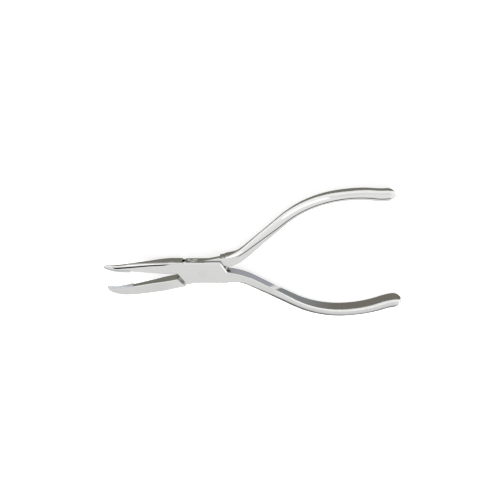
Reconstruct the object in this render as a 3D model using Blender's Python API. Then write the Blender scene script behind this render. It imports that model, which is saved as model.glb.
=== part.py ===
"""Box-joint orthodontic pliers, lying flat, opened as a hand would hold them ready.

The hinge axis is +Z and passes through the origin. The jaws point along -X and the handles along +X.
The origin lies on the back face of the box, the square middle of the pliers, so Z = BOX_THICKNESS is
its front face. Both levers are drawn with the jaws shut, and the key lever is then turned open.
"""
import math

import bmesh
import bpy
from mathutils import Vector

MM = 0.001

# The box, where the two levers cross
BOX_HEIGHT = 11.1 * MM
BOX_THICKNESS = 5.4 * MM
CHEEK_LOW_X = -8.6 * MM
CHEEK_SLANT_X = 3.1 * MM
SHOULDER_GAP = 1.1 * MM
EDGE_BREAK = 0.22 * MM
CHEEK_CHAMFER = 0.45 * MM

# The slot through the box, and the key that turns in it
KEY_THICKNESS = 2.0 * MM
SLOT_CLEARANCE = 0.3 * MM
POCKET_RADIUS = 11.1 * MM
LIP_DEPTH = 0.9 * MM
LUG_WIDTH_DEG = 4.0

# The rivet that holds them together
RIVET_RADIUS = 1.75 * MM
RIVET_SEAT_GAP = 0.05 * MM
RIVET_RUNNING_GAP = 0.12 * MM

# Movement, counted from shut jaws
REST_OPENING_DEG = 12.4
FULL_OPENING_DEG = 22.4

# Jaws, measured from the hinge axis
JAW_REACH = 47.1 * MM
JAW_ROOT_OFFSET = 0.45 * MM
JAW_CLEARANCE = 0.3 * MM
JAW_TAPER_START = 15.0 * MM
JAW_MID_X = 25.0 * MM
JAW_MID_WIDTH = 3.9 * MM
JAW_NECK_WIDTH = 2.8 * MM
JAW_TIP_WIDTH = 1.1 * MM
UPPER_MID_HEIGHT = 4.8 * MM
UPPER_NECK_HEIGHT = 3.75 * MM
LOWER_MID_HEIGHT = 5.1 * MM
LOWER_NECK_HEIGHT = 5.05 * MM
UPPER_TIP_HEIGHT = 0.8 * MM
LOWER_TIP_HEIGHT = 1.45 * MM
TIP_ROUND = 1.6 * MM
TIP_LEAST = 0.2
UPPER_CHAMFER = (0.65 * MM, 0.93 * MM)
LOWER_CHAMFER = (0.3 * MM, 0.3 * MM)

# Gripping pads, set into a seat at the end of each jaw
PAD_LENGTH = 12.6 * MM
PAD_THICKNESS = 0.8 * MM
PAD_TIP_THICKNESS = 0.45 * MM
PAD_SEAT_GAP = 0.1 * MM
PAD_MEETING_GAP = 0.1 * MM
PAD_STEP = 0.5 * MM
GRIP_LINE_Y = -0.4 * MM
TIP_BEND_START = 39.0 * MM
TIP_BEND_RADIUS = 18.5 * MM

# Handles: a short fillet out of the box, a straight flare, a long bow and a turned-out end
HANDLE_AXIS_TILT_DEG = 1.4
HANDLE_START = (13.0 * MM, -0.2 * MM)
HANDLE_START_DEG = -8.0
HANDLE_FLARE_DEG = -31.0
HANDLE_BOW_DEG = 21.0
HANDLE_FILLET_RADIUS = 30.5 * MM
HANDLE_FLARE_LENGTH = 22.7 * MM
HANDLE_BOW_RADIUS = 44.0 * MM
HANDLE_RETURN_RADIUS = 52.0 * MM
HANDLE_END_RADIUS = 28.0 * MM
HANDLE_END_ROUND = 4.0 * MM
HANDLE_END_LEAST = 0.3
HANDLE_END_LEAN = 0.3
HANDLE_END_SWELL = 0.65 * MM

# Handle section: a flat inner wall, a flat facet on each side of it and a rounded back
HANDLE_SHANK_WIDTH = 5.4 * MM
HANDLE_BOW_WIDTH = 8.2 * MM
HANDLE_SHANK_DEPTH = 4.9 * MM
HANDLE_BOW_DEPTH = 3.9 * MM
HANDLE_SHANK_FACET = 3.65 * MM
HANDLE_BOW_FACET = 1.55 * MM
HANDLE_END_FACET = 1.85 * MM

RIM_POINTS = 10
PATH_STEP = 1.9 * MM
END_STEP = 0.6 * MM
RIVET_SEGMENTS = 48
ARC_STEP_DEG = 2.5

STEEL = ("polished_steel", (0.62, 0.62, 0.60, 1.0), 0.22)
PAD_STEEL = ("pad_steel", (0.50, 0.50, 0.50, 1.0), 0.38)
RIVET_STEEL = ("rivet_steel", (0.58, 0.58, 0.57, 1.0), 0.25)


def clear_scene():
    for obj in list(bpy.data.objects):
        bpy.data.objects.remove(obj)


def metal(name, colour, roughness):
    material = bpy.data.materials.new(name)
    material.use_nodes = True
    shader = material.node_tree.nodes["Principled BSDF"]
    shader.inputs["Base Color"].default_value = colour
    shader.inputs["Metallic"].default_value = 1.0
    shader.inputs["Roughness"].default_value = roughness
    return material


def blend(a, b, t):
    return a + (b - a) * t


def ease(t):
    t = min(max(t, 0.0), 1.0)
    return t * t * (3.0 - 2.0 * t)


def turned(point, degrees):
    angle = math.radians(degrees)
    c = math.cos(angle)
    s = math.sin(angle)
    return (point[0] * c - point[1] * s, point[0] * s + point[1] * c)


def polar(radius, degrees):
    return turned((radius, 0.0), degrees)


def arc(radius, start_deg, end_deg):
    steps = max(2, round(abs(end_deg - start_deg) / ARC_STEP_DEG))
    return [polar(radius, blend(start_deg, end_deg, i / steps)) for i in range(steps + 1)]


def rim(half_width, depth, roundness, inset=None):
    """Points across one edge of a section, as (z, depth below the edge's crest).

    Roundness 0 gives a flat crest with a chamfer at each side, and 1 gives half an ellipse. The
    chamfer takes inset off the width, which is the same as its depth where it isn't given.
    """
    points = []
    last = RIM_POINTS - 1
    for i in range(RIM_POINTS):
        turn = math.pi * i / last
        if i in (0, last):
            flat = (half_width if i == 0 else -half_width, depth)
        else:
            crest = half_width - min(depth if inset is None else inset, 0.8 * half_width)
            flat = (blend(crest, -crest, (i - 1) / (last - 2)), 0.0)
        curved = (half_width * math.cos(turn), depth * (1.0 - math.sin(turn)))
        points.append((blend(flat[0], curved[0], roundness), blend(flat[1], curved[1], roundness)))
    return points


def section(low, top, width, low_rim, top_rim):
    """A closed ring standing on the plan line from low to top, centred on the box's middle plane."""
    low = Vector((low[0], low[1], 0.0))
    top = Vector((top[0], top[1], 0.0))
    up = (top - low).normalized()
    middle = Vector((0.0, 0.0, BOX_THICKNESS / 2))
    ring = []
    for z, depth in rim(width / 2, *low_rim):
        ring.append(low + up * depth + middle + Vector((0.0, 0.0, z)))
    for z, depth in reversed(rim(width / 2, *top_rim)):
        ring.append(top - up * depth + middle + Vector((0.0, 0.0, z)))
    return ring


def loft(name, rings):
    """A closed skin through the rings, capped at both ends."""
    bm = bmesh.new()
    loops = [[bm.verts.new(point) for point in ring] for ring in rings]
    count = len(loops[0])
    for near, far in zip(loops, loops[1:]):
        for i in range(count):
            j = (i + 1) % count
            bm.faces.new((near[i], near[j], far[j], far[i]))
    bm.faces.new(loops[0])
    bm.faces.new(loops[-1])
    bmesh.ops.recalc_face_normals(bm, faces=bm.faces)
    return finish(name, bm)


def prism(name, outline, z_low, z_high):
    """The plan outline pushed up from z_low to z_high."""
    bm = bmesh.new()
    base = bm.faces.new([bm.verts.new((x, y, z_low)) for x, y in outline])
    grown = bmesh.ops.extrude_face_region(bm, geom=[base])
    raised = [item for item in grown["geom"] if isinstance(item, bmesh.types.BMVert)]
    bmesh.ops.translate(bm, verts=raised, vec=(0.0, 0.0, z_high - z_low))
    bmesh.ops.recalc_face_normals(bm, faces=bm.faces)
    return finish(name, bm)


def finish(name, bm):
    mesh = bpy.data.meshes.new(name)
    bm.to_mesh(mesh)
    bm.free()
    mesh.shade_smooth()
    mesh.set_sharp_from_angle(angle=math.radians(24.0))
    obj = bpy.data.objects.new(name, mesh)
    bpy.context.scene.collection.objects.link(obj)
    return obj


def cut(target, cutter):
    cutter.hide_render = True
    cutter.display_type = "WIRE"
    modifier = target.modifiers.new(cutter.name, "BOOLEAN")
    modifier.operation = "DIFFERENCE"
    modifier.solver = "EXACT"
    modifier.object = cutter


def grip_y(x):
    """Height of the line where the shut pads meet. It bends up towards the tips."""
    past = max(0.0, -x - TIP_BEND_START)
    return GRIP_LINE_Y + TIP_BEND_RADIUS - math.sqrt(TIP_BEND_RADIUS ** 2 - past ** 2)


def pad_thickness(x):
    start = JAW_REACH - PAD_LENGTH
    return blend(PAD_THICKNESS, PAD_TIP_THICKNESS, ease((-x - start) / PAD_LENGTH))


def nose_width(distance):
    """Width of a jaw along its pad, and of the pad, at a distance from the hinge axis."""
    shoulder = JAW_REACH - TIP_ROUND
    seat_x = JAW_REACH - PAD_LENGTH
    if distance > shoulder:
        past = (distance - shoulder) / TIP_ROUND
        return 1.3 * JAW_TIP_WIDTH * math.sqrt(1.0 - (0.9 * past) ** 2)
    t = (shoulder - distance) / (shoulder - seat_x)
    return blend(1.3 * JAW_TIP_WIDTH, JAW_NECK_WIDTH, ease(t ** 0.7))


def jaw_sections(side):
    """Rings of one jaw from its tip to the box. Side is +1 for the upper jaw and -1 for the lower."""
    half_box = BOX_HEIGHT / 2
    root_x = (-CHEEK_LOW_X + CHEEK_SLANT_X) if side > 0 else (-CHEEK_LOW_X + CHEEK_SLANT_X + SHOULDER_GAP)
    seat_x = JAW_REACH - PAD_LENGTH
    mid_height = UPPER_MID_HEIGHT if side > 0 else LOWER_MID_HEIGHT
    neck_height = UPPER_NECK_HEIGHT if side > 0 else LOWER_NECK_HEIGHT
    chamfer = UPPER_CHAMFER if side > 0 else LOWER_CHAMFER
    tip_height = UPPER_TIP_HEIGHT if side > 0 else LOWER_TIP_HEIGHT
    root_y = -JAW_ROOT_OFFSET - (0.0 if side > 0 else JAW_CLEARANCE)
    relief_y = GRIP_LINE_Y + side * PAD_STEP
    rings = []

    def add(distance, inner, outer, width, share):
        fine = min(1.0, abs(outer - inner) / (4.0 * EDGE_BREAK))
        inner_rim = (EDGE_BREAK * fine, 0.0)
        depth = blend(EDGE_BREAK * fine, chamfer[0], share)
        outer_rim = (depth, 0.0, blend(EDGE_BREAK, chamfer[1], share))
        if side > 0:
            rings.append(section((-distance, inner), (-distance, outer), width, inner_rim, outer_rim))
        else:
            rings.append(section((-distance, outer), (-distance, inner), width, outer_rim, inner_rim))

    def seat(distance):
        reach = PAD_MEETING_GAP / 2 + pad_thickness(-distance) + PAD_SEAT_GAP
        return grip_y(-distance) + side * reach

    tip_steps = 5
    for i in range(tip_steps):
        t = i / tip_steps
        distance = JAW_REACH - TIP_ROUND * t * t
        height = 1.7 * tip_height * blend(TIP_LEAST, 1.0, t)
        add(distance, seat(distance), seat(distance) + side * height, nose_width(distance), 0.25 * t)
    pad_steps = 8
    for i in range(pad_steps + 1):
        t = i / pad_steps
        distance = blend(JAW_REACH - TIP_ROUND, seat_x, t)
        full = blend(1.7 * tip_height, neck_height - PAD_THICKNESS, t ** 0.75)
        share = blend(0.25, 1.0, t)
        add(distance, seat(distance), seat(distance) + side * full, nose_width(distance), share)
    neck_outer = seat(seat_x) + side * (neck_height - PAD_THICKNESS)
    add(seat_x - 0.06 * MM, relief_y, neck_outer, JAW_NECK_WIDTH, 1.0)
    mid_outer = blend(relief_y, root_y, 0.5) + side * mid_height
    body_steps = 7
    for i in range(1, body_steps):
        t = i / body_steps
        distance = blend(seat_x, JAW_TAPER_START, t)
        inner = blend(relief_y, root_y, t)
        outer = blend(neck_outer, side * half_box, t)
        outer += (mid_outer - blend(neck_outer, side * half_box, 0.5)) * 4.0 * t * (1.0 - t)
        mid_t = (seat_x - JAW_MID_X) / (seat_x - JAW_TAPER_START)
        if t < mid_t:
            width = blend(JAW_NECK_WIDTH, JAW_MID_WIDTH, t / mid_t)
        else:
            width = blend(JAW_MID_WIDTH, BOX_THICKNESS, math.sin((t - mid_t) / (1.0 - mid_t) * math.pi / 2))
        add(distance, inner, outer, width, 1.0 - ease(t / 0.92))
    add(JAW_TAPER_START, root_y, side * half_box, BOX_THICKNESS, 0.0)
    add(root_x, root_y, side * half_box, BOX_THICKNESS, 0.0)
    return rings


def handle_path():
    """Inner wall of the lower handle in the handles' own frame: places with their headings."""
    runs = (
        (HANDLE_START_DEG, HANDLE_FLARE_DEG, HANDLE_FILLET_RADIUS),
        (HANDLE_FLARE_DEG, HANDLE_FLARE_DEG, None),
        (HANDLE_FLARE_DEG, 0.0, HANDLE_BOW_RADIUS),
        (0.0, HANDLE_BOW_DEG, HANDLE_RETURN_RADIUS),
        (HANDLE_BOW_DEG, 0.0, HANDLE_END_RADIUS),
    )
    x, y = HANDLE_START
    path = [(x, y, HANDLE_START_DEG)]
    for start, end, radius in runs:
        length = HANDLE_FLARE_LENGTH if radius is None else radius * math.radians(abs(end - start))
        step = END_STEP if radius == HANDLE_END_RADIUS else PATH_STEP
        steps = max(2, round(length / step))
        for i in range(steps):
            heading = math.radians(blend(start, end, (i + 0.5) / steps))
            x += math.cos(heading) * length / steps
            y += math.sin(heading) * length / steps
            path.append((x, y, blend(start, end, (i + 1) / steps)))
    return path


def handle_sections(side):
    """Rings of one handle from the box to its end. Side is +1 for the lower handle, -1 for the upper."""
    path = handle_path()
    travelled = [0.0]
    for a, b in zip(path, path[1:]):
        travelled.append(travelled[-1] + math.hypot(b[0] - a[0], b[1] - a[1]))
    total = travelled[-1]
    root_depth = BOX_HEIGHT / 2 + HANDLE_START[1]
    settle = 8.0 * MM
    rings = []
    for (x, y, heading), run in zip(path, travelled):
        along = run / total
        bow = math.sin(min(max((run - 0.27 * total) / (0.5 * total), 0.0), 1.0) * math.pi / 2)
        shank = ease(run / settle)
        full = blend(HANDLE_SHANK_DEPTH, HANDLE_BOW_DEPTH, min(1.0, along / 0.74))
        full += HANDLE_END_SWELL * ease((along - 0.72) / 0.2)
        facet = blend(HANDLE_SHANK_FACET, HANDLE_BOW_FACET, ease(along / 0.45))
        facet += (HANDLE_END_FACET - HANDLE_BOW_FACET) * ease((along - 0.6) / 0.3)
        back = blend(EDGE_BREAK, full - facet, shank)
        depth = blend(root_depth, full, shank)
        width = blend(HANDLE_SHANK_WIDTH, HANDLE_BOW_WIDTH, bow)
        left = total - run
        if left < HANDLE_END_ROUND:
            shrink = math.sqrt(1.0 - (1.0 - left / HANDLE_END_ROUND) ** 2)
            shrink = max(HANDLE_END_LEAST, shrink)
            width *= shrink
            slim = blend(0.3, 1.0, shrink)
        else:
            slim = 1.0
        inset = depth * (1.0 - slim) * HANDLE_END_LEAN
        trim = depth * (1.0 - slim) * (1.0 - HANDLE_END_LEAN)
        normal = math.radians(heading - 90.0)
        inner = (x + math.cos(normal) * inset, y + math.sin(normal) * inset)
        outer = (x + math.cos(normal) * (depth - trim), y + math.sin(normal) * (depth - trim))
        inner_rim = (EDGE_BREAK * blend(1.0, 2.2, along), along)
        outer_rim = (back * slim, shank)
        if side < 0:
            inner = (inner[0], -inner[1])
            outer = (outer[0], -outer[1])
        inner = turned(inner, HANDLE_AXIS_TILT_DEG)
        outer = turned(outer, HANDLE_AXIS_TILT_DEG)
        if side > 0:
            rings.append(section(outer, inner, width, outer_rim, inner_rim))
        else:
            rings.append(section(inner, outer, width, inner_rim, outer_rim))
    return rings


def lever(name, side, shoulder_gap):
    """One forging, from jaw tip through the box to the handle's end.

    Side +1 has the upper jaw and the lower handle. Each end of its box is a slant that leaves
    room for the other lever.
    """
    half = BOX_HEIGHT / 2
    low_x = CHEEK_LOW_X
    high_x = CHEEK_LOW_X - CHEEK_SLANT_X - shoulder_gap
    root_y = JAW_ROOT_OFFSET + (0.0 if side > 0 else JAW_CLEARANCE)
    plain = (EDGE_BREAK, 0.0)
    slanted = (CHEEK_CHAMFER, 0.0)
    rings = jaw_sections(side)
    if side > 0:
        rings.append(section((low_x, -half), (low_x, half), BOX_THICKNESS, slanted, plain))
        rings.append(section((-low_x, -half), (-low_x, half), BOX_THICKNESS, plain, slanted))
        rings.append(section((-high_x, -half), (-high_x, root_y), BOX_THICKNESS, plain, plain))
    else:
        rings.append(section((low_x, -half), (low_x, half), BOX_THICKNESS, plain, plain))
        rings.append(section((-low_x, -half), (-low_x, half), BOX_THICKNESS, plain, plain))
        rings.append(section((-high_x, root_y), (-high_x, half), BOX_THICKNESS, plain, plain))
    rings.extend(handle_sections(side))
    return loft(name, rings)


def opposite(outline):
    """The same outline turned half a turn about the hinge axis."""
    return [(-x, -y) for x, y in outline]


def lug_angles():
    """Where the key's stop lug starts and ends on its upper edge, in degrees, with the jaws shut."""
    start = 180.0 - math.degrees(math.asin(BOX_HEIGHT / 2 / (POCKET_RADIUS - SLOT_CLEARANCE)))
    return start, start + LUG_WIDTH_DEG


def slot_outline():
    """Plan of the slot through the box: open above and below, with a round pocket at each end.

    A lip at the bottom of each pocket stops the key's lug at full opening.
    """
    beyond = BOX_HEIGHT
    lip_radius = POCKET_RADIUS - LIP_DEPTH
    clear_deg = math.degrees(SLOT_CLEARANCE / POCKET_RADIUS)
    lip_deg = lug_angles()[1] + FULL_OPENING_DEG + clear_deg
    top_deg = 180.0 - math.degrees(math.asin(BOX_HEIGHT / 2 / POCKET_RADIUS))
    root_deg = 180.0 + math.degrees(math.asin(JAW_ROOT_OFFSET / lip_radius))
    reach = -CHEEK_LOW_X + CHEEK_SLANT_X + SHOULDER_GAP + BOX_THICKNESS
    half = [(polar(POCKET_RADIUS, top_deg)[0], beyond)]
    half += arc(POCKET_RADIUS, top_deg, lip_deg)
    half += arc(lip_radius, lip_deg, root_deg)
    half += [(-reach, -JAW_ROOT_OFFSET), (-reach, -beyond)]
    return half + opposite(half)


def key_trim_outline():
    """Plan of what is taken off the upper left of the key lever to leave the key and its lug."""
    beyond = BOX_HEIGHT
    lug_radius = POCKET_RADIUS - SLOT_CLEARANCE
    waist_radius = lug_radius - LIP_DEPTH
    start, end = lug_angles()
    relief = JAW_ROOT_OFFSET + JAW_CLEARANCE
    root_deg = 180.0 + math.degrees(math.asin(relief / waist_radius))
    reach = -CHEEK_LOW_X + CHEEK_SLANT_X + SHOULDER_GAP
    trim = [(polar(lug_radius, start)[0], beyond)]
    trim += arc(lug_radius, start, end)
    trim += arc(waist_radius, end, root_deg)
    trim += [(-reach, -relief), (-reach - beyond, 0.0), (-reach - beyond, beyond)]
    return trim


def shoulder_outline():
    """Plan between the key lever's two slanted shoulders, where only the thin key is left."""
    beyond = 1.2 * BOX_HEIGHT / 2
    half = BOX_HEIGHT / 2
    root = JAW_ROOT_OFFSET + JAW_CLEARANCE
    low = (CHEEK_LOW_X - SHOULDER_GAP, -half)
    high = (CHEEK_LOW_X - CHEEK_SLANT_X - SHOULDER_GAP, -root)
    slope = (high[0] - low[0]) / (high[1] - low[1])
    foot = (low[0] - slope * (beyond - half), -beyond)
    head = (high[0] - slope * JAW_CLEARANCE, high[1] + JAW_CLEARANCE)
    left = [(high[0], beyond), head, foot]
    return left + opposite(left)


def bore(name, radius):
    outline = [polar(radius, 360.0 * i / RIVET_SEGMENTS) for i in range(RIVET_SEGMENTS)]
    return prism(name, outline, -BOX_THICKNESS, 2 * BOX_THICKNESS)


def build_box_lever():
    body = lever("box_lever", 1, 0.0)
    slot_half = KEY_THICKNESS / 2 + SLOT_CLEARANCE
    middle = BOX_THICKNESS / 2
    slot = prism("slot_cutter", slot_outline(), middle - slot_half, middle + slot_half)
    hole = bore("box_bore_cutter", RIVET_RADIUS + RIVET_SEAT_GAP)
    cut(body, slot)
    cut(body, hole)
    return body


def build_key_lever():
    body = lever("key_lever", -1, SHOULDER_GAP)
    middle = BOX_THICKNESS / 2
    half_key = KEY_THICKNESS / 2
    between = shoulder_outline()
    cutters = [
        prism("front_shoulder_cutter", between, middle + half_key, 2 * BOX_THICKNESS),
        prism("back_shoulder_cutter", between, -BOX_THICKNESS, middle - half_key),
        prism("key_trim_cutter_jaw", key_trim_outline(), -BOX_THICKNESS, 2 * BOX_THICKNESS),
        prism("key_trim_cutter_handle", opposite(key_trim_outline()), -BOX_THICKNESS, 2 * BOX_THICKNESS),
        bore("key_bore_cutter", RIVET_RADIUS + RIVET_RUNNING_GAP),
    ]
    for cutter in cutters:
        cut(body, cutter)
    return body, cutters


def build_pad(name, side):
    """A thin gripping insert that follows the bent line where the jaws meet."""
    start = JAW_REACH - PAD_LENGTH
    rings = []
    steps = 9
    for i in range(steps + 1):
        t = i / steps
        x = -blend(start + PAD_SEAT_GAP, JAW_REACH - 0.25 * MM, math.sin(t * math.pi / 2))
        face = grip_y(x) + side * PAD_MEETING_GAP / 2
        back = face + side * pad_thickness(x)
        width = nose_width(-x)
        break_rim = (EDGE_BREAK * 0.5, 0.0)
        if side > 0:
            rings.append(section((x, face), (x, back), width, break_rim, break_rim))
        else:
            rings.append(section((x, back), (x, face), width, break_rim, break_rim))
    return loft(name, rings)


def build_rivet():
    outline = [polar(RIVET_RADIUS, 360.0 * i / RIVET_SEGMENTS) for i in range(RIVET_SEGMENTS)]
    return prism("joint_rivet", outline, 0.0, BOX_THICKNESS)


def main():
    clear_scene()
    steel = metal(*STEEL)
    pad_steel = metal(*PAD_STEEL)
    rivet_steel = metal(*RIVET_STEEL)

    box_lever = build_box_lever()
    upper_pad = build_pad("upper_pad", 1)
    rivet = build_rivet()

    hinge = bpy.data.objects.new("key_lever_hinge", None)
    bpy.context.scene.collection.objects.link(hinge)
    key_lever, key_cutters = build_key_lever()
    lower_pad = build_pad("lower_pad", -1)
    for obj in [key_lever, lower_pad] + key_cutters:
        obj.parent = hinge
    hinge.rotation_euler = (0.0, 0.0, math.radians(REST_OPENING_DEG))

    box_lever.data.materials.append(steel)
    key_lever.data.materials.append(steel)
    upper_pad.data.materials.append(pad_steel)
    lower_pad.data.materials.append(pad_steel)
    rivet.data.materials.append(rivet_steel)
    bpy.context.view_layer.update()


main()
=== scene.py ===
# %% [markdown]
# # A pair of box-joint orthodontic pliers, dressed for its picture
#
# The pliers are two steel forgings that cross in a box joint. One of them is the box: its two
# cheeks stand either side of a slot. The other is thinned to a key that passes through the slot,
# and a flush rivet is the hinge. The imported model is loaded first. It is a fixed frame: every
# piece made below is drawn in the same metres and rides on one of its two moving bodies.

# %% Load the frame
import math
from functools import partial

import bmesh
import bpy
from mathutils import Matrix, Vector


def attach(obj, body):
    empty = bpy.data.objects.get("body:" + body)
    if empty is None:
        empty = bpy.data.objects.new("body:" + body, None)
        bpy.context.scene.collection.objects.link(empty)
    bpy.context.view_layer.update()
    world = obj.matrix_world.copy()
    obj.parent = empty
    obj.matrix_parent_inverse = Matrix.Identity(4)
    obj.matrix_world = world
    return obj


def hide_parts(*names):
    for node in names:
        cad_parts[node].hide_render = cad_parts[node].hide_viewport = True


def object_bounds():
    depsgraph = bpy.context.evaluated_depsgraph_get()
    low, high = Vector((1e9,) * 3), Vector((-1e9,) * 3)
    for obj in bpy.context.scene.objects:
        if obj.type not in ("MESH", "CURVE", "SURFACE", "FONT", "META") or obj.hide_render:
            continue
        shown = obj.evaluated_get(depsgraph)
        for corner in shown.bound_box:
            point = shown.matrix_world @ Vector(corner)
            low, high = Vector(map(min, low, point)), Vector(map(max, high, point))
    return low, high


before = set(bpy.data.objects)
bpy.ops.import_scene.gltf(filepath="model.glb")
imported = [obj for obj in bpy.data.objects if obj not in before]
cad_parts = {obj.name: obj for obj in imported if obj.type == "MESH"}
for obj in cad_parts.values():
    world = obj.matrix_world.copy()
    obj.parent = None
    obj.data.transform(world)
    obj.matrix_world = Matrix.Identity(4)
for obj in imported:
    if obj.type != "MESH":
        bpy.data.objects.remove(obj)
cad_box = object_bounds()
MM = 0.001
print("nodes:", list(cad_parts))

# %% [markdown]
# ## The camera
#
# The pliers lie flat, and the camera looks down on them from 60 degrees above the floor. A long
# lens keeps the two handles nearly parallel in the picture. A camera in Blender looks along its
# own -Z, so a turn of -30 degrees about X tips its view from straight down to the wanted slope.

# %% Place the camera
LENS = 60.22
LOOK_AT = Vector((22.478 * MM, 11.276 * MM, 2.7 * MM))
CAMERA_SLOPE_DEG = 30.0
CAMERA_DISTANCE = 392.68 * MM

slope = math.radians(CAMERA_SLOPE_DEG)
lens = bpy.data.cameras.new("camera")
lens.lens = LENS
lens.sensor_width = 36.0
lens.clip_start = 0.01
lens.clip_end = 50.0
camera = bpy.data.objects.new("camera", lens)
camera.location = LOOK_AT + CAMERA_DISTANCE * Vector((0.0, math.sin(slope), math.cos(slope)))
camera.rotation_euler = (-slope, 0.0, 0.0)
bpy.context.scene.collection.objects.link(camera)
bpy.context.scene.camera = camera
print("camera at", [round(v, 4) for v in camera.location])

# %% [markdown]
# ## The studio
#
# Polished steel has hardly any colour of its own. It shows what stands around it, so the studio
# is built before the metal. The world is a white tent. The floor is plain and pale, and the
# object's shadow falls on it. For the camera the floor glows a little, so that it comes out as
# white as a photographer's table. In the steel it glows less than half as much: at full glow
# the rounded backs of the handles, which mirror the far floor, would lose their form in white.

# %% Helpers for materials
def new_material(name):
    material = bpy.data.materials.new(name)
    material.use_nodes = True
    material.node_tree.nodes.clear()
    return material, material.node_tree


def add_node(tree, kind, inputs, **settings):
    """A node. Each of its inputs is set to a value or linked from a socket."""
    node = tree.nodes.new("ShaderNode" + kind)
    for setting, value in settings.items():
        setattr(node, setting, value)
    for key, value in inputs.items():
        if isinstance(value, bpy.types.NodeSocket):
            tree.links.new(value, node.inputs[key])
        else:
            node.inputs[key].default_value = value
    return node


def maths(tree, operation, a, b):
    """What a Math node makes of two numbers or sockets."""
    return add_node(tree, "Math", {0: a, 1: b}, operation=operation).outputs[0]


def shades_along(tree, value, steps):
    """The colour at a value, from (value, colour or brightness) steps."""
    low, high = steps[0][0], steps[-1][0]
    along = add_node(tree, "MapRange", {"Value": value, "From Min": low, "From Max": high})
    ramp = add_node(tree, "ValToRGB", {"Fac": along.outputs["Result"]})
    stops = ramp.color_ramp.elements
    while len(stops) < len(steps):
        stops.new(0.5)
    for stop, (at, colour) in zip(stops, steps):
        stop.position = (at - low) / (high - low)
        colour = colour if isinstance(colour, tuple) else (colour, colour, colour)
        stop.color = (*colour, 1.0)
    return ramp.outputs["Color"]


# %% Helpers for objects
def new_piece(name, bm):
    mesh = bpy.data.meshes.new(name)
    bm.to_mesh(mesh)
    bm.free()
    obj = bpy.data.objects.new(name, mesh)
    bpy.context.scene.collection.objects.link(obj)
    return obj


def new_corners(made):
    """The corners among what an extrusion made."""
    return [item for item in made["geom"] if isinstance(item, bmesh.types.BMVert)]


# %% The world, a white tent
WHITE = (1.0, 1.0, 1.0, 1.0)
TENT_FOR_FLOOR = 0.42
TENT_BRIGHTEST = 1.1
# How bright the tent looks in the steel, against how far a ray leans to +Y or -Y
TENT_STEPS = (
    (-1.0, 0.30), (-0.88, 0.56), (-0.67, 0.76), (-0.56, 0.88), (-0.52, 0.96), (-0.44, 1.0),
    (0.0, 1.0), (0.5, 1.08), (0.85, 1.06), (0.96, 0.99), (1.0, 0.92),
)

world = bpy.data.worlds.new("white tent")
world.use_nodes = True
tree = world.node_tree
tree.nodes.clear()
direction = add_node(tree, "TexCoord", {})
parts = add_node(tree, "SeparateXYZ", {"Vector": direction.outputs["Generated"]})
tent_steps = [(value, bright / TENT_BRIGHTEST) for value, bright in TENT_STEPS]
tent_shades = shades_along(tree, parts.outputs["Y"], tent_steps)
rays = add_node(tree, "LightPath", {})


def background(colour, brightness):
    light = add_node(tree, "Background", {"Color": colour, "Strength": brightness})
    return light.outputs["Background"]


def choose(first, second, ray):
    mix = add_node(tree, "MixShader", {"Fac": rays.outputs[ray], 1: first, 2: second})
    return mix.outputs["Shader"]


for_floor = background(WHITE, TENT_FOR_FLOOR)
for_steel = background(tent_shades, TENT_BRIGHTEST)
white = background(WHITE, 1.0)
light = choose(for_floor, for_steel, "Is Glossy Ray")
light = choose(light, white, "Is Transmission Ray")
light = choose(light, white, "Is Camera Ray")
add_node(tree, "OutputWorld", {"Surface": light})
bpy.context.scene.world = world
bpy.context.scene.view_settings.view_transform = "Standard"
print("tent steps:", len(TENT_STEPS))

# %% The floor
FLOOR_HALF = 6.0
FLOOR_DROP = 0.02 * MM
FLOOR_COLOUR = (0.74, 0.74, 0.74, 1.0)
FLOOR_LIFT = 0.7
FLOOR_IN_STEEL = 0.45
floor_level = cad_box[0][2]

bm = bmesh.new()
bmesh.ops.create_grid(bm, x_segments=1, y_segments=1, size=FLOOR_HALF)
bmesh.ops.translate(bm, verts=bm.verts, vec=(0.0, 0.0, floor_level - FLOOR_DROP))
floor = new_piece("floor", bm)

floor_paint, tree = new_material("pale floor")
rays = add_node(tree, "LightPath", {})
seen = maths(tree, "MULTIPLY", rays.outputs["Is Glossy Ray"], FLOOR_IN_STEEL)
seen = maths(tree, "MAXIMUM", rays.outputs["Is Camera Ray"], seen)
seen = maths(tree, "MAXIMUM", seen, rays.outputs["Is Transmission Ray"])
lift = maths(tree, "MULTIPLY", seen, FLOOR_LIFT)
glow = add_node(tree, "Emission", {"Color": WHITE, "Strength": lift})
paint = add_node(tree, "BsdfDiffuse", {"Color": FLOOR_COLOUR})
both = add_node(tree, "AddShader", {0: paint.outputs["BSDF"], 1: glow.outputs["Emission"]})
add_node(tree, "OutputMaterial", {"Surface": both.outputs["Shader"]})
floor.data.materials.append(floor_paint)
print("floor at z =", round(floor_level * 1000, 3), "mm")

# %% [markdown]
# ## The lamp and the cards
#
# One soft lamp stands on the side of the lower handle, so that each piece throws its shadow
# towards the top of the picture. The lamp itself isn't seen in the steel. Two bright cards give
# the steel its glints instead. A card is a plain sheet that glows. It is hidden from the camera
# and throws neither light nor shadow on the floor, so it works only where the steel mirrors it.

# %% The lamp
LAMP_SLOPE_DEG = 42.0
LAMP_DISTANCE = 0.75
LAMP_SIZE = (0.9, 0.45)
LAMP_POWER = 10.0
LAMP_ASIDE = 0.024
PLIERS_MIDDLE = Vector((0.024, 0.0, 0.0))

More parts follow.
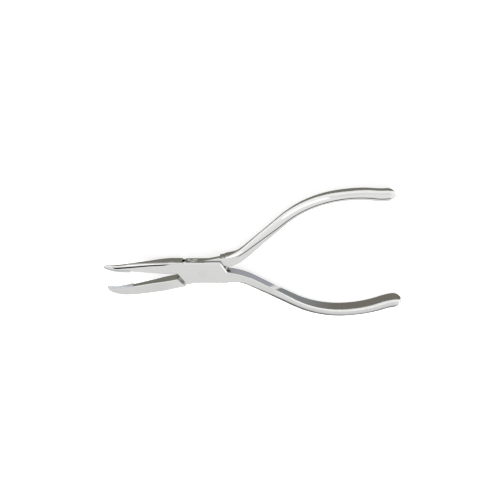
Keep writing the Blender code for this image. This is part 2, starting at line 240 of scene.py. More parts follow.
lamp_data = bpy.data.lights.new("soft lamp", "AREA")
lamp_data.shape = "RECTANGLE"
lamp_data.size, lamp_data.size_y = LAMP_SIZE
lamp_data.energy = LAMP_POWER
lamp = bpy.data.objects.new("soft lamp", lamp_data)
bpy.context.scene.collection.objects.link(lamp)
lamp_slope = math.radians(LAMP_SLOPE_DEG)
lamp_way = Vector((LAMP_ASIDE, -math.cos(lamp_slope), math.sin(lamp_slope)))
lamp.location = lamp_way * LAMP_DISTANCE
lamp.rotation_euler = (PLIERS_MIDDLE - lamp.location).to_track_quat("-Z", "Y").to_euler()
lamp.visible_glossy = False
print("lamp at", [round(v, 3) for v in lamp.location])


# %% Cards that only the steel sees
def only_for_steel(name, bm, paint):
    """Make a piece of the stage that shows in reflections and nowhere else."""
    obj = new_piece(name, bm)
    obj.data.materials.append(paint)
    obj.visible_camera = False
    obj.visible_diffuse = False
    obj.visible_transmission = False
    obj.visible_shadow = False


def glow_paint(name, brightness=1.0):
    """A material that only glows, its node tree, and the socket of its colour."""
    paint, tree = new_material(name)
    glow = add_node(tree, "Emission", {"Color": WHITE, "Strength": brightness})
    add_node(tree, "OutputMaterial", {"Surface": glow.outputs["Emission"]})
    return paint, tree, glow.inputs["Color"]


def card(name, middle, size, brightness):
    """A flat card that glows and faces the pliers."""
    bm = bmesh.new()
    bmesh.ops.create_grid(bm, x_segments=1, y_segments=1, size=0.5)
    bmesh.ops.scale(bm, verts=bm.verts, vec=(size[0], size[1], 1.0))
    turn = (PLIERS_MIDDLE - Vector(middle)).to_track_quat("-Z", "Y").to_matrix().to_4x4()
    bmesh.ops.transform(bm, matrix=Matrix.Translation(middle) @ turn, verts=bm.verts)
    only_for_steel(name, bm, glow_paint(name, brightness)[0])


card("bright card", middle=(-0.20, 0.33, 0.09), size=(0.34, 0.20), brightness=1.55)
card("right card", middle=(0.62, 0.0, 0.25), size=(0.36, 0.22), brightness=1.6)

# %% [markdown]
# ## The sizes
#
# Nearly every size here is one that the solid model has, in the same frame: the origin lies on
# the hinge's axis at the back of the box, the jaws point along -X and the handles along +X. Only
# the chamfers, the lean of the shoulder and the bulge of the backs are tuned to the picture. The
# levers are drawn with the jaws shut, and the key lever is turned open afterwards, about the
# rivet, exactly as the real one would be.

# %% Sizes of the box joint
BOX_HEIGHT = 11.1 * MM
BOX_THICKNESS = 5.4 * MM
CHEEK_LOW_X = -8.6 * MM
CHEEK_SLANT_X = 3.1 * MM
SHOULDER_GAP = 1.1 * MM
EDGE_BREAK = 0.22 * MM
CHEEK_CHAMFER = 0.45 * MM
CHEEK_TOP_BREAK = 0.62 * MM
KEY_THICKNESS = 2.0 * MM
SLOT_CLEARANCE = 0.3 * MM
SHOULDER_LEAN = 0.9 * MM
POCKET_RADIUS = 11.1 * MM
LIP_DEPTH = 0.9 * MM
LUG_WIDTH_DEG = 4.0
RIVET_RADIUS = 1.75 * MM
RIVET_FIT = 0.012 * MM
KEY_HOLE_PLAY = 0.12 * MM
REST_OPENING_DEG = 12.4
FULL_OPENING_DEG = 22.4
JAW_ROOT_OFFSET = 0.45 * MM
JAW_CLEARANCE = 0.3 * MM
MIDDLE = BOX_THICKNESS / 2

# %% Sizes of the jaws and pads
JAW_REACH = 47.1 * MM
JAW_TAPER_START = 15.0 * MM
JAW_MID_X = 25.0 * MM
JAW_MID_WIDTH = 3.9 * MM
JAW_NECK_WIDTH = 2.8 * MM
JAW_TIP_WIDTH = 1.1 * MM
# Heights of the two jaws, and their chamfers (depth, width) at the tip and at the neck
UPPER_JAW = {"mid": 4.8 * MM, "neck": 3.75 * MM, "tip": 0.8 * MM}
LOWER_JAW = {"mid": 5.1 * MM, "neck": 5.05 * MM, "tip": 1.45 * MM}
UPPER_CHAMFER = ((0.13 * MM, 0.52 * MM), (0.34 * MM, 0.5 * MM))
LOWER_CHAMFER = ((EDGE_BREAK, EDGE_BREAK), (0.3 * MM, 0.3 * MM))
TIP_ROUND = 1.6 * MM
TIP_LEAST = 0.2
NOSE_WIDTH = 1.3 * JAW_TIP_WIDTH
NOSE_HEIGHT_SHARE = 1.7
NOSE_BLUNTNESS = 0.9
NOSE_TAPER = 0.7
PAD_LENGTH = 12.6 * MM
PAD_THICKNESS = 0.8 * MM
PAD_TIP_THICKNESS = 0.45 * MM
PAD_SEAT_GAP = 0.1 * MM
PAD_MEETING_GAP = 0.1 * MM
PAD_STEP = 0.5 * MM
GRIP_LINE_Y = -0.4 * MM
TIP_BEND_START = 39.0 * MM
TIP_BEND_RADIUS = 18.5 * MM

# %% Sizes of the handles
HANDLE_AXIS_TILT_DEG = 1.4
HANDLE_START = (13.0 * MM, -0.2 * MM)
HANDLE_START_DEG = -8.0
HANDLE_FLARE_DEG = -31.0
HANDLE_BOW_DEG = 21.0
HANDLE_FILLET_RADIUS = 30.5 * MM
HANDLE_FLARE_LENGTH = 22.7 * MM
HANDLE_BOW_RADIUS = 44.0 * MM
HANDLE_RETURN_RADIUS = 52.0 * MM
HANDLE_END_RADIUS = 28.0 * MM
HANDLE_END_ROUND = 4.0 * MM
HANDLE_END_LEAST = 0.3
HANDLE_END_LEAN = 0.3
HANDLE_END_SWELL = 0.65 * MM
HANDLE_SHANK_WIDTH = 5.4 * MM
HANDLE_BOW_WIDTH = 8.2 * MM
HANDLE_SHANK_DEPTH = 4.9 * MM
HANDLE_BOW_DEPTH = 3.9 * MM
HANDLE_SHANK_FACET = 3.65 * MM
HANDLE_BOW_FACET = 1.55 * MM
HANDLE_END_FACET = 1.85 * MM
HANDLE_SETTLE = 8.0 * MM
END_SLIM = 0.3
INNER_BREAK_GROWTH = 2.2
CREASE_DEPTH = 0.12 * MM
CREASE_WIDTH = 0.46 * MM
CREASE_FROM, CREASE_FADE = 5.0 * MM, 4.0 * MM
UPPER_BACK_BULGE = 1.75
LOWER_BACK_BULGE = 2.4
# A painted dark reflection on the turn of the lower handle's back
LOWER_RIM_SHADE = 0.8
# Where along a handle its sizes change, as shares of its length
BOW_FROM, BOW_SPAN = 0.27, 0.5
DEPTH_SETTLED = 0.74
SWELL_FROM, SWELL_SPAN = 0.72, 0.2
FACET_SETTLED = 0.45
END_FACET_FROM, END_FACET_SPAN = 0.6, 0.3

# %% [markdown]
# ## One edge of a bar
#
# Both levers are forged bars whose section changes from the jaw's tip to the handle's end. It
# helps to describe a section by its two edges. An edge goes from a flat with a chamfer at each
# side, as on the jaws and the box, to half an ellipse, as on the backs of the handles. Real
# ground edges are never razor sharp, so each corner of a chamfer is a small curve. Just inside
# an edge there can be a fine crease, where the polishing wheel left off, and painted shade in it
# draws the long thin dark line along the upper handle. On the lower handle a painted dark
# reflection on the turn of the back makes a dark rim instead. Shade is kept beside each point,
# and it tells the steel later where to paint it dark.

# %% Small sums
def blend(a, b, t):
    return a + (b - a) * t


def ease(t):
    t = min(max(t, 0.0), 1.0)
    return t * t * (3.0 - 2.0 * t)


def turned(point, degrees):
    angle = math.radians(degrees)
    c, s = math.cos(angle), math.sin(angle)
    return (point[0] * c - point[1] * s, point[0] * s + point[1] * c)


# %% A rounded corner and an edge
def rounded(corner, before, after, reach, steps=4):
    """Points of a small curve that cuts a corner, starting and ending reach away from it."""
    corner, before, after = Vector(corner), Vector(before), Vector(after)
    start = corner + (before - corner).normalized() * reach
    end = corner + (after - corner).normalized() * reach
    points = []
    for i in range(steps + 1):
        t = i / steps
        points.append((1 - t) ** 2 * start + 2 * t * (1 - t) * corner + t * t * end)
    return points


# How a crease dips, and how much painted shade lies across it
CREASE_STEPS = (1.0, 0.84, 0.5, 0.16, 0.0)
CREASE_SHAPE = (0.0, 0.75, 1.0, 0.75, 0.0)
CREASE_SHADE = (0.0, 1.0, 1.0, 1.0, 0.0)
CREASE_SET_IN = 0.1
CREST_STEPS = (0.25, 0.5, 0.75)
RIM_TURNS = (0.25, 0.92)
CORNER_REACH = 0.16 * MM
CORNER_SHARE = 0.32
# A chamfer takes at most this share of the half width, and a corner this share of the crest
CHAMFER_MOST, CREST_CORNER = 0.8, 0.4
# The narrow flat beside an edge that has no crease
LEAD = 0.2 * MM


def edge(half_width, depth, roundness=0.0, crease=0.0, shade=0.0, crease_width=LEAD,
         inset=None, bulge=2.0, rim_shade=0.0):
    """One edge of a section, from its front to its back.

    Each point is (z, depth below the crest, shade). Crease is how deep the crease is, and shade
    is how much painted shade lies in it. Inset is how much width the chamfer takes. Bulge is 2
    for an ellipse, and less for a back that comes to a keener edge. Rim shade paints a dark
    reflection on the turn of the back.
    """
    crest = half_width - min(depth if inset is None else inset, CHAMFER_MOST * half_width)
    reach = min(CORNER_SHARE * depth, CORNER_REACH)
    side = (half_width, depth)
    top = (crest, 0.0)
    flat = rounded(side, (half_width, depth + MM), top, reach)
    flat += rounded(top, side, (0.0, 0.0), min(reach, CREST_CORNER * crest))
    start = flat[-1].x
    front_half = len(flat)
    for t in CREST_STEPS:
        flat.append(Vector((blend(start, -start, t), 0.0)))
    flat += [Vector((-p.x, p.y)) for p in reversed(flat[:front_half])]
    count = len(flat)
    points = []
    for i, p in enumerate(flat):
        turn = math.pi * i / (count - 1)
        across = math.copysign(abs(math.cos(turn)) ** (2.0 / bulge), math.cos(turn))
        curved = (half_width * across, depth * (1.0 - math.sin(turn) ** (2.0 / bulge)))
        dark = rim_shade if RIM_TURNS[0] < min(turn, math.pi - turn) < RIM_TURNS[1] else 0.0
        points.append((blend(p.x, curved[0], roundness), blend(p.y, curved[1], roundness), dark))
    lead = []
    base = points[0][1]
    for step, dip, dark in zip(CREASE_STEPS, CREASE_SHAPE, CREASE_SHADE):
        down = base + (step + CREASE_SET_IN) * crease_width
        lead.append((half_width - crease * dip, down, shade * dark))
    tail = [(-z, down, dark) for z, down, dark in reversed(lead)]
    return lead + points + tail


print("points on one edge:", len(edge(MM, EDGE_BREAK)))

# %% [markdown]
# ## A section, and the skin over many of them
#
# A section stands on the plan like a slice of bread, from its low edge to its top edge. The skin
# starts as a circle with as many corners as a section has points. Its corners are set on the
# first section, and the loop is extruded from station to station, as a smith draws out a bar. So
# every long edge of the forging is one unbroken run of mesh edges.


# %% A section
SECTION_FILL = 0.92


def section(low, top, width, low_edge, top_edge):
    """Places and shades round one slice of a lever, low edge first."""
    low = Vector((low[0], low[1], 0.0))
    top = Vector((top[0], top[1], 0.0))
    up = (top - low).normalized()
    height = (top - low).length
    first, last = edge(width / 2, *low_edge), edge(width / 2, *top_edge)
    reach = max(p[1] for p in first) + max(p[1] for p in last)
    fit = min(1.0, SECTION_FILL * height / reach)
    ring = []
    for z, down, dark in first:
        ring.append((low + up * down * fit + Vector((0.0, 0.0, MIDDLE + z)), dark))
    for z, down, dark in reversed(last):
        ring.append((top - up * down * fit + Vector((0.0, 0.0, MIDDLE + z)), dark))
    return ring


# %% The skin
def draw_out(bm, rings, shade_name):
    """Extrude a loop from section to section and close both ends."""
    shade = bm.verts.layers.float.new(shade_name)
    verts = bmesh.ops.create_circle(bm, cap_ends=False, segments=len(rings[0]), radius=MM)["verts"]
    for vert, (place, dark) in zip(verts, rings[0]):
        vert.co = place
        vert[shade] = dark
    for ring in rings[1:]:
        edges = [bm.edges.get(pair) for pair in zip(verts, verts[1:] + verts[:1])]
        fresh = set(new_corners(bmesh.ops.extrude_edge_only(bm, edges=edges)))
        grown = []
        for vert in verts:
            beside = (e.other_vert(vert) for e in vert.link_edges)
            grown.append(next(v for v in beside if v in fresh))
        for vert, (place, dark) in zip(grown, ring):
            vert.co = place
            vert[shade] = dark
        verts = grown
    ends = [e for e in bm.edges if e.is_boundary]
    bmesh.ops.edgeloop_fill(bm, edges=ends)
    bmesh.ops.recalc_face_normals(bm, faces=bm.faces)


# %% [markdown]
# ## The jaws
#
# The jaws taper to tips that bend up a little. The last 12.6 mm of each is stepped down as a
# seat for its gripping pad. Both jaws follow one curved line where the shut pads meet, so the
# bend is worked out once. Along the upper jaw's chamfer runs a shallow groove with painted
# shade in it, which draws a dark line there.


# %% Where the pads meet, and how thick they are
def grip_y(x):
    past = max(0.0, -x - TIP_BEND_START)
    return GRIP_LINE_Y + TIP_BEND_RADIUS - math.sqrt(TIP_BEND_RADIUS ** 2 - past ** 2)


def pad_thickness(x):
    start = JAW_REACH - PAD_LENGTH
    return blend(PAD_THICKNESS, PAD_TIP_THICKNESS, ease((-x - start) / PAD_LENGTH))


def nose_width(distance):
    """Width of a jaw along its pad, and of the pad, at a distance from the hinge."""
    shoulder = JAW_REACH - TIP_ROUND
    if distance > shoulder:
        past = (distance - shoulder) / TIP_ROUND
        return NOSE_WIDTH * math.sqrt(1.0 - (NOSE_BLUNTNESS * past) ** 2)
    t = (shoulder - distance) / (shoulder - JAW_REACH + PAD_LENGTH)
    return blend(NOSE_WIDTH, JAW_NECK_WIDTH, ease(t ** NOSE_TAPER))


print("width at a pad's root in mm:", round(nose_width(JAW_REACH - PAD_LENGTH) * 1000, 2))

# %% Sections of one jaw, from its tip to the box
TIP_STATIONS = 9
PAD_STATIONS = 16
BODY_STATIONS = 20
# The dark line on the upper jaw: a shallow groove with painted shade in it
LINE_START, LINE_END = 14.4 * MM, 43.0 * MM
LINE_FADE_IN, LINE_FADE_OUT = 9.0, 25.0
LINE_WIDTH, LINE_LEFT_WIDTH = 0.7 * MM, 1.0 * MM
LINE_DEPTH = 0.03 * MM
SEAT_STEP = 0.06 * MM
CHAMFER_RUN_OUT = 0.92


def jaw_sections(side, sizes):
    """Side is +1 for the upper jaw and -1 for the lower."""
    half_box = BOX_HEIGHT / 2
    root_x = -CHEEK_LOW_X + CHEEK_SLANT_X + (0.0 if side > 0 else SHOULDER_GAP)
    seat_x = JAW_REACH - PAD_LENGTH
    root_y = -JAW_ROOT_OFFSET - (0.0 if side > 0 else JAW_CLEARANCE)
    relief_y = GRIP_LINE_Y + side * PAD_STEP
    nose_height = NOSE_HEIGHT_SHARE * sizes["tip"]
    seat_height = sizes["neck"] - PAD_THICKNESS
    rings = []

    def add(distance, inner, outer, width, share):
        """One slice. Its chamfer is the neck's where share is 1."""
        along = (distance - LINE_START) / (LINE_END - LINE_START)
        along = min(max(along, 0.0), 1.0)
        line = min(1.0, along * LINE_FADE_IN, (1.0 - along) * LINE_FADE_OUT) if side > 0 else 0.0
        fine = min(1.0, abs(outer - inner) / (4.0 * EDGE_BREAK))
        tip, neck = UPPER_CHAMFER if side > 0 else LOWER_CHAMFER
        if distance > seat_x:
            deep, wide = blend(tip[0], neck[0], share) * fine, blend(tip[1], neck[1], share)
        else:
            deep, wide = (blend(EDGE_BREAK, size, share) for size in neck)
        line_width = blend(LEAD * fine, blend(LINE_WIDTH, LINE_LEFT_WIDTH, along), line)
        inner_edge = (EDGE_BREAK * fine, 0.0, 0.0, 0.0, LEAD * fine)
        outer_edge = (deep, 0.0, LINE_DEPTH * line, line, line_width, wide)
        inner, outer = (-distance, inner), (-distance, outer)
        if side > 0:
            rings.append(section(inner, outer, width, inner_edge, outer_edge))
        else:
            rings.append(section(outer, inner, width, outer_edge, inner_edge))

    def seat(distance):
        thickness = pad_thickness(-distance)
        return grip_y(-distance) + side * (PAD_MEETING_GAP / 2 + thickness + PAD_SEAT_GAP)

    for i in range(TIP_STATIONS):
        t = i / TIP_STATIONS
        distance = JAW_REACH - TIP_ROUND * t * t
        height = nose_height * blend(TIP_LEAST, 1.0, t)
        add(distance, seat(distance), seat(distance) + side * height, nose_width(distance), 0.0)
    for i in range(PAD_STATIONS + 1):
        t = i / PAD_STATIONS
        distance = blend(JAW_REACH - TIP_ROUND, seat_x, t)
        full = blend(nose_height, seat_height, t ** 0.75)
        low = seat(distance)
        add(distance, low, low + side * full, nose_width(distance), t ** 1.5)
    neck_outer = seat(seat_x) + side * seat_height
    add(seat_x - SEAT_STEP, relief_y, neck_outer, JAW_NECK_WIDTH, 1.0)
    mid_outer = blend(relief_y, root_y, 0.5) + side * sizes["mid"]
    mid_t = (seat_x - JAW_MID_X) / (seat_x - JAW_TAPER_START)
    for i in range(1, BODY_STATIONS):
        t = i / BODY_STATIONS
        outer = blend(neck_outer, side * half_box, t)
        outer += (mid_outer - blend(neck_outer, side * half_box, 0.5)) * 4.0 * t * (1.0 - t)
        if t < mid_t:
            width = blend(JAW_NECK_WIDTH, JAW_MID_WIDTH, t / mid_t)
        else:
            past = (t - mid_t) / (1.0 - mid_t)
            width = blend(JAW_MID_WIDTH, BOX_THICKNESS, math.sin(past * math.pi / 2))
        distance, inner = blend(seat_x, JAW_TAPER_START, t), blend(relief_y, root_y, t)
        add(distance, inner, outer, width, 1.0 - ease(t / CHAMFER_RUN_OUT))
    add(JAW_TAPER_START, root_y, side * half_box, BOX_THICKNESS, 0.0)
    add(root_x, root_y, side * half_box, BOX_THICKNESS, 0.0)
    return rings


print("stations along a jaw:", len(jaw_sections(1, UPPER_JAW)))

# %% [markdown]
# ## The handles
#
# The inner wall of a handle runs out of the box in a short curve, flares straight, bows round
# and turns out again at its end. The path is walked in small steps. At each step the section is
# set square to the path: a flat inner wall, a flat facet on each side of it, and a rounded back
# that fills the hand. On the upper handle the crease runs between facet and back.


# %% The path of the inner wall
def handle_path(step_size=0.9 * MM, end_step=0.35 * MM):
    runs = (
        (HANDLE_START_DEG, HANDLE_FLARE_DEG, HANDLE_FILLET_RADIUS),
        (HANDLE_FLARE_DEG, HANDLE_FLARE_DEG, None),
        (HANDLE_FLARE_DEG, 0.0, HANDLE_BOW_RADIUS),
        (0.0, HANDLE_BOW_DEG, HANDLE_RETURN_RADIUS),
        (HANDLE_BOW_DEG, 0.0, HANDLE_END_RADIUS),
    )
    x, y = HANDLE_START
    path = [(x, y, HANDLE_START_DEG)]
    for start, end, radius in runs:
        length = HANDLE_FLARE_LENGTH if radius is None else radius * math.radians(abs(end - start))
        steps = round(length / (end_step if radius == HANDLE_END_RADIUS else step_size))
        for i in range(steps):
            heading = math.radians(blend(start, end, (i + 0.5) / steps))
            x += math.cos(heading) * length / steps
            y += math.sin(heading) * length / steps
            path.append((x, y, blend(start, end, (i + 1) / steps)))
    return path


# %% [markdown]
# ## The painted shade under the pliers
#
# A wall of polished steel that stands on the table mirrors the table beside it, and such walls
# look dark. So glowing grey sheets lie there as a painted shadow, which only the steel sees, cut
# to the shape of the pliers: sheets under the box and the jaws, and a strip under each handle. A
# white slit in the sheet under the box paints a bright reflection, a line on the wall of the jaw.
# One more strip follows the inner wall of the lower handle and paints its reflections: cool near
# the box, warm near the end, and broken by one pale patch, a painted highlight. Where two of them
# cross, they lie at different heights.


# %% The painted shade sheets
# Painted shadow: glowing grey sheets where the floor beside the pliers lies in shade, seen only in
# the steel
SHADE_SHEET_COLOUR = (0.235, 0.232, 0.20)
SHADE_REACH = 8.0 * MM
SHADE_BESIDE_BOX = 3.2 * MM
SHADE_TOP_SLOPE = 2.0 * MM
SHADE_LEFT, SHADE_NECK, SHADE_JAW, SHADE_RIGHT = -52.0 * MM, -35.5 * MM, -18.0 * MM, 13.0 * MM
NECK_TOP = 5.6 * MM
NOSE_LOW, NOSE_TOP = 1.0 * MM, 4.4 * MM
SHEET_DROP = 0.012 * MM
OUTER_REACH = (3.5 * MM, 8.0 * MM)
# The sheet under the box is painted shade, with a white slit that paints a highlight on the jaw's
# wall
HIGHLIGHT_SLIT_STEPS = (
    (SHADE_JAW, SHADE_SHEET_COLOUR), (-9.5 * MM, SHADE_SHEET_COLOUR), (-9.35 * MM, 1.3), (-8.45 * MM, 1.3),
    (-8.3 * MM, SHADE_SHEET_COLOUR), (SHADE_RIGHT, SHADE_SHEET_COLOUR),
)
STRIP_WIDTH = 6.0 * MM
STRIP_OVERLAP = 0.5 * MM
PAST_END = 5.0 * MM
# Painted reflections on the lower handle's inner wall along X: cool, then a pale painted
# highlight, then warm
REFLECTION_STRIP_STEPS = (
    (10.0 * MM, (0.36, 0.36, 0.38)), (18.0 * MM, (0.44, 0.44, 0.49)),
    (34.9 * MM, (0.44, 0.45, 0.50)), (36.6 * MM, (0.95, 0.95, 0.95)),
    (38.2 * MM, (0.95, 0.95, 0.95)), (38.7 * MM, (0.30, 0.32, 0.34)),
    (52.0 * MM, (0.29, 0.30, 0.31)), (64.0 * MM, (0.225, 0.21, 0.185)),
    (96.0 * MM, (0.225, 0.21, 0.185)),
)


def shade_sheet_paint(name, steps):
    """A glowing paint for painted shade and reflections, changing along X, from (x, shade) steps.
    """
    paint, tree, colour = glow_paint(name)
    place = add_node(tree, "TexCoord", {})
    parts = add_node(tree, "SeparateXYZ", {"Vector": place.outputs["Object"]})
    tree.links.new(shades_along(tree, parts.outputs["X"], steps), colour)
    return paint


def strip_along(name, side, near, far, drop, paint):
    """A strip of painted shade beside a handle, from near to far of its inner wall.

    Side is +1 for the lower handle. Near has a value for each end of the handle.
    """
    walk = handle_path()
    x, y, heading = walk[-1]
    along = math.radians(heading)
    walk.append((x + math.cos(along) * PAST_END, y + math.sin(along) * PAST_END, heading))
    bm = bmesh.new()
    bmesh.ops.create_grid(bm, x_segments=len(walk) - 1, y_segments=1, size=0.5)
    for vert in bm.verts:
        x, y, heading = walk[round((vert.co.x + 0.5) * (len(walk) - 1))]
        square = math.radians(heading + 90.0)
        reach = far if vert.co.y > 0 else blend(*near, vert.co.x + 0.5)
        spot = (x + math.cos(square) * reach, side * (y + math.sin(square) * reach))
        spot = turned(spot, HANDLE_AXIS_TILT_DEG + (0.0 if side > 0 else REST_OPENING_DEG))
        vert.co = (spot[0], spot[1], floor_level - drop)
    only_for_steel(name, bm, paint)


def sheet(name, left, right, lows, tops, paint):
    """A flat sheet of painted shade between two x. Lows and tops give its lower and upper y at
    each.
    """
    bm = bmesh.new()
    bmesh.ops.create_grid(bm, x_segments=1, y_segments=1, size=0.5)
    for vert in bm.verts:
        at = 1 if vert.co.x > 0 else 0
        x, y = (left, right)[at], (tops if vert.co.y > 0 else lows)[at]
        vert.co = (x, y, floor_level - SHEET_DROP)
    only_for_steel(name, bm, paint)


# The painted shadow is one flat grey, seen only in reflections
grey = shade_sheet_paint("painted shade grey", ((-1.0, SHADE_SHEET_COLOUR), (1.0, SHADE_SHEET_COLOUR)))
slit = shade_sheet_paint("painted shade with a highlight slit", HIGHLIGHT_SLIT_STEPS)
top = BOX_HEIGHT / 2 + SHADE_BESIDE_BOX
sheet("painted_shade_box", SHADE_JAW, SHADE_RIGHT, (-top, -top), (top, top + SHADE_TOP_SLOPE), slit)
sheet("painted_shade_jaws", SHADE_NECK, SHADE_JAW, (-top, -top), (NECK_TOP, top), grey)
sheet("painted_shade_tip", SHADE_LEFT, SHADE_NECK, (NOSE_LOW, 0.0), (NOSE_TOP, NECK_TOP), grey)
under_lower = 2 * (-HANDLE_SHANK_DEPTH - SHADE_REACH,)
under_upper = [-HANDLE_SHANK_DEPTH - reach for reach in OUTER_REACH]
beside_lower = 2 * (-STRIP_OVERLAP,)
strip_along("painted_shade_under_lower", 1, under_lower, 0.0, 0.009 * MM, grey)
strip_along("painted_shade_under_upper", -1, under_upper, SHADE_REACH, 0.010 * MM, grey)
# This strip paints the reflections in the lower handle's inner wall
strip = shade_sheet_paint("painted reflection strip", REFLECTION_STRIP_STEPS)
strip_along("painted_reflection_strip", 1, beside_lower, STRIP_WIDTH, 0.006 * MM, strip)
print("mat and strips laid")

# %% Sections of one handle, from the box to its end
def handle_sections(side):
    """Side is +1 for the lower handle and -1 for the upper."""
    path = handle_path()
    travelled = [0.0]
    for a, b in zip(path, path[1:]):
        travelled.append(travelled[-1] + math.hypot(b[0] - a[0], b[1] - a[1]))
    total = travelled[-1]
    rings = []
    for (x, y, heading), run in zip(path, travelled):
        along = run / total
        bow = min(max((run - BOW_FROM * total) / (BOW_SPAN * total), 0.0), 1.0)
        bow = math.sin(bow * math.pi / 2)
        shank = ease(run / HANDLE_SETTLE)
        full = blend(HANDLE_SHANK_DEPTH, HANDLE_BOW_DEPTH, min(1.0, along / DEPTH_SETTLED))
        full += HANDLE_END_SWELL * ease((along - SWELL_FROM) / SWELL_SPAN)
        facet = blend(HANDLE_SHANK_FACET, HANDLE_BOW_FACET, ease(along / FACET_SETTLED))
        widening = ease((along - END_FACET_FROM) / END_FACET_SPAN)
        facet += (HANDLE_END_FACET - HANDLE_BOW_FACET) * widening
        back = blend(EDGE_BREAK, full - facet, shank)
        depth = blend(BOX_HEIGHT / 2 + HANDLE_START[1], full, shank)
        width = blend(HANDLE_SHANK_WIDTH, HANDLE_BOW_WIDTH, bow)
        left = total - run
        shrink = 1.0
        if left < HANDLE_END_ROUND:
            shrink = max(HANDLE_END_LEAST, math.sqrt(1.0 - (1.0 - left / HANDLE_END_ROUND) ** 2))
        slim = blend(END_SLIM, 1.0, shrink) if shrink < 1.0 else 1.0
        width *= shrink
        inset = depth * (1.0 - slim) * HANDLE_END_LEAN
        trim = depth * (1.0 - slim) * (1.0 - HANDLE_END_LEAN)
        normal = math.radians(heading - 90.0)
        inner = (x + math.cos(normal) * inset, y + math.sin(normal) * inset)
        outer = (x + math.cos(normal) * (depth - trim), y + math.sin(normal) * (depth - trim))
        shown = ease((run - CREASE_FROM) / CREASE_FADE) * ease(left / CREASE_FROM)
        # The lower handle gets a painted dark reflection on its back, the upper one painted shade
        # in its crease
        rim, line = (LOWER_RIM_SHADE * shown, 0.0) if side > 0 else (0.0, shown)
        bulge = blend(2.0, LOWER_BACK_BULGE if side > 0 else UPPER_BACK_BULGE, shank)
        inner_break = EDGE_BREAK * blend(1.0, INNER_BREAK_GROWTH, along) * slim
        inner_edge = (inner_break, along, 0.0, 0.0, LEAD * slim)
        outer_edge = (
            back * slim, shank, CREASE_DEPTH * line, line, CREASE_WIDTH * slim, None, bulge, rim)
        inner = turned((inner[0], side * inner[1]), HANDLE_AXIS_TILT_DEG)
        outer = turned((outer[0], side * outer[1]), HANDLE_AXIS_TILT_DEG)
        if side > 0:
            rings.append(section(outer, inner, width, outer_edge, inner_edge))
        else:
            rings.append(section(inner, outer, width, inner_edge, outer_edge))
    return rings


print("stations along a handle:", len(handle_sections(1)))

# %% [markdown]
# ## One forging from tip to end
#
# Jaw, box and handle are one piece of steel, so they are one skin. Each end of the box slants,
# which leaves room for the other lever to swing.


# %% A whole lever
CHEEK_LEAD = 0.1 * MM
# Stations of the box lever's broken top edge: x, and the share of the break
TOP_BREAKS = (
    (CHEEK_LOW_X + CHEEK_LEAD, 1.0), (CHEEK_LOW_X + 3.0 * MM, 0.7),
    (-CHEEK_LOW_X - CHEEK_LEAD, 0.55),
)


def lever_rings(side):
    half = BOX_HEIGHT / 2
    low_x = CHEEK_LOW_X
    high_x = CHEEK_LOW_X - CHEEK_SLANT_X - (0.0 if side > 0 else SHOULDER_GAP)
    root_y = JAW_ROOT_OFFSET + (0.0 if side > 0 else JAW_CLEARANCE)
    plain = (EDGE_BREAK,)
    cut_across = math.sin(math.atan(CHEEK_SLANT_X / half))
    slanted = plain
    if side > 0:
        slanted = (CHEEK_CHAMFER / cut_across, 0.0, 0.0, 0.0, LEAD, CHEEK_CHAMFER)
    rings = jaw_sections(side, UPPER_JAW if side > 0 else LOWER_JAW)

    def add(low, top, low_edge=plain, top_edge=plain):
        rings.append(section(low, top, BOX_THICKNESS, low_edge, top_edge))

    add((low_x, -half), (low_x, half), low_edge=slanted)
    for x, share in TOP_BREAKS if side > 0 else ():
        add((x, -half), (x, half), top_edge=(CHEEK_TOP_BREAK * share,))
    add((-low_x, -half), (-low_x, half), top_edge=slanted)
    if side > 0:
        beyond = -high_x + CHEEK_LEAD
        add((-high_x, -half), (-high_x, root_y), top_edge=slanted)
        add((beyond, -half), (beyond, root_y))
    else:
        # Without this lean the skin would fold over itself at the shoulder
        add((-high_x, root_y), (-high_x - SHOULDER_LEAN, half))
    return rings + handle_sections(side)


# %% Both levers
def new_lever(name, side):
    bm = bmesh.new()
    # The skin keeps how much painted shade lies at each point as an attribute
    draw_out(bm, lever_rings(side), "painted_shade_amount")
    return new_piece(name, bm)


box_forging = new_lever("box_lever_forging", 1)
key_forging = new_lever("key_lever_forging", -1)
print("box forging faces:", len(box_forging.data.polygons))

# %% [markdown]
# ## Cutting the box joint
#
# In the workshop the slot is broached through the hot box and the other lever is passed into it.
# Here each cutter is a flat outline that is extruded into a block, and an exact Boolean takes it
# away. The curved parts of an outline are swept with spin from a single corner, about the hinge.


# %% Outlines for the cutters
ARC_STEP_DEG = 1.25
SAME_POINT = 0.0005 * MM


def polar(radius, degrees):
    return turned((radius, 0.0), degrees)


def outline(bm, parts):
    """A flat face from corners (x, y) and sweeps (radius, from, to), in order."""
    chain = []
    for part in parts:
        if len(part) == 2:
            chain.append(bm.verts.new((part[0], part[1], 0.0)))
            continue
        radius, start, end = part
        first = bm.verts.new((*polar(radius, start), 0.0))
        steps = max(3, round(abs(end - start) / ARC_STEP_DEG))
        bmesh.ops.spin(
            bm, geom=[first], cent=(0.0, 0.0, 0.0), axis=(0.0, 0.0, 1.0),
            angle=math.radians(end - start), steps=steps, use_duplicate=False)
        run = [first]
        while True:
            ahead = [e.other_vert(run[-1]) for e in run[-1].link_edges]
            ahead = [v for v in ahead if v not in run]
            if not ahead:
                break
            run.append(ahead[0])
        chain += run
    bmesh.ops.remove_doubles(bm, verts=bm.verts, dist=SAME_POINT)
    chain = [v for v in chain if v.is_valid]
    return bm.faces.new(chain)


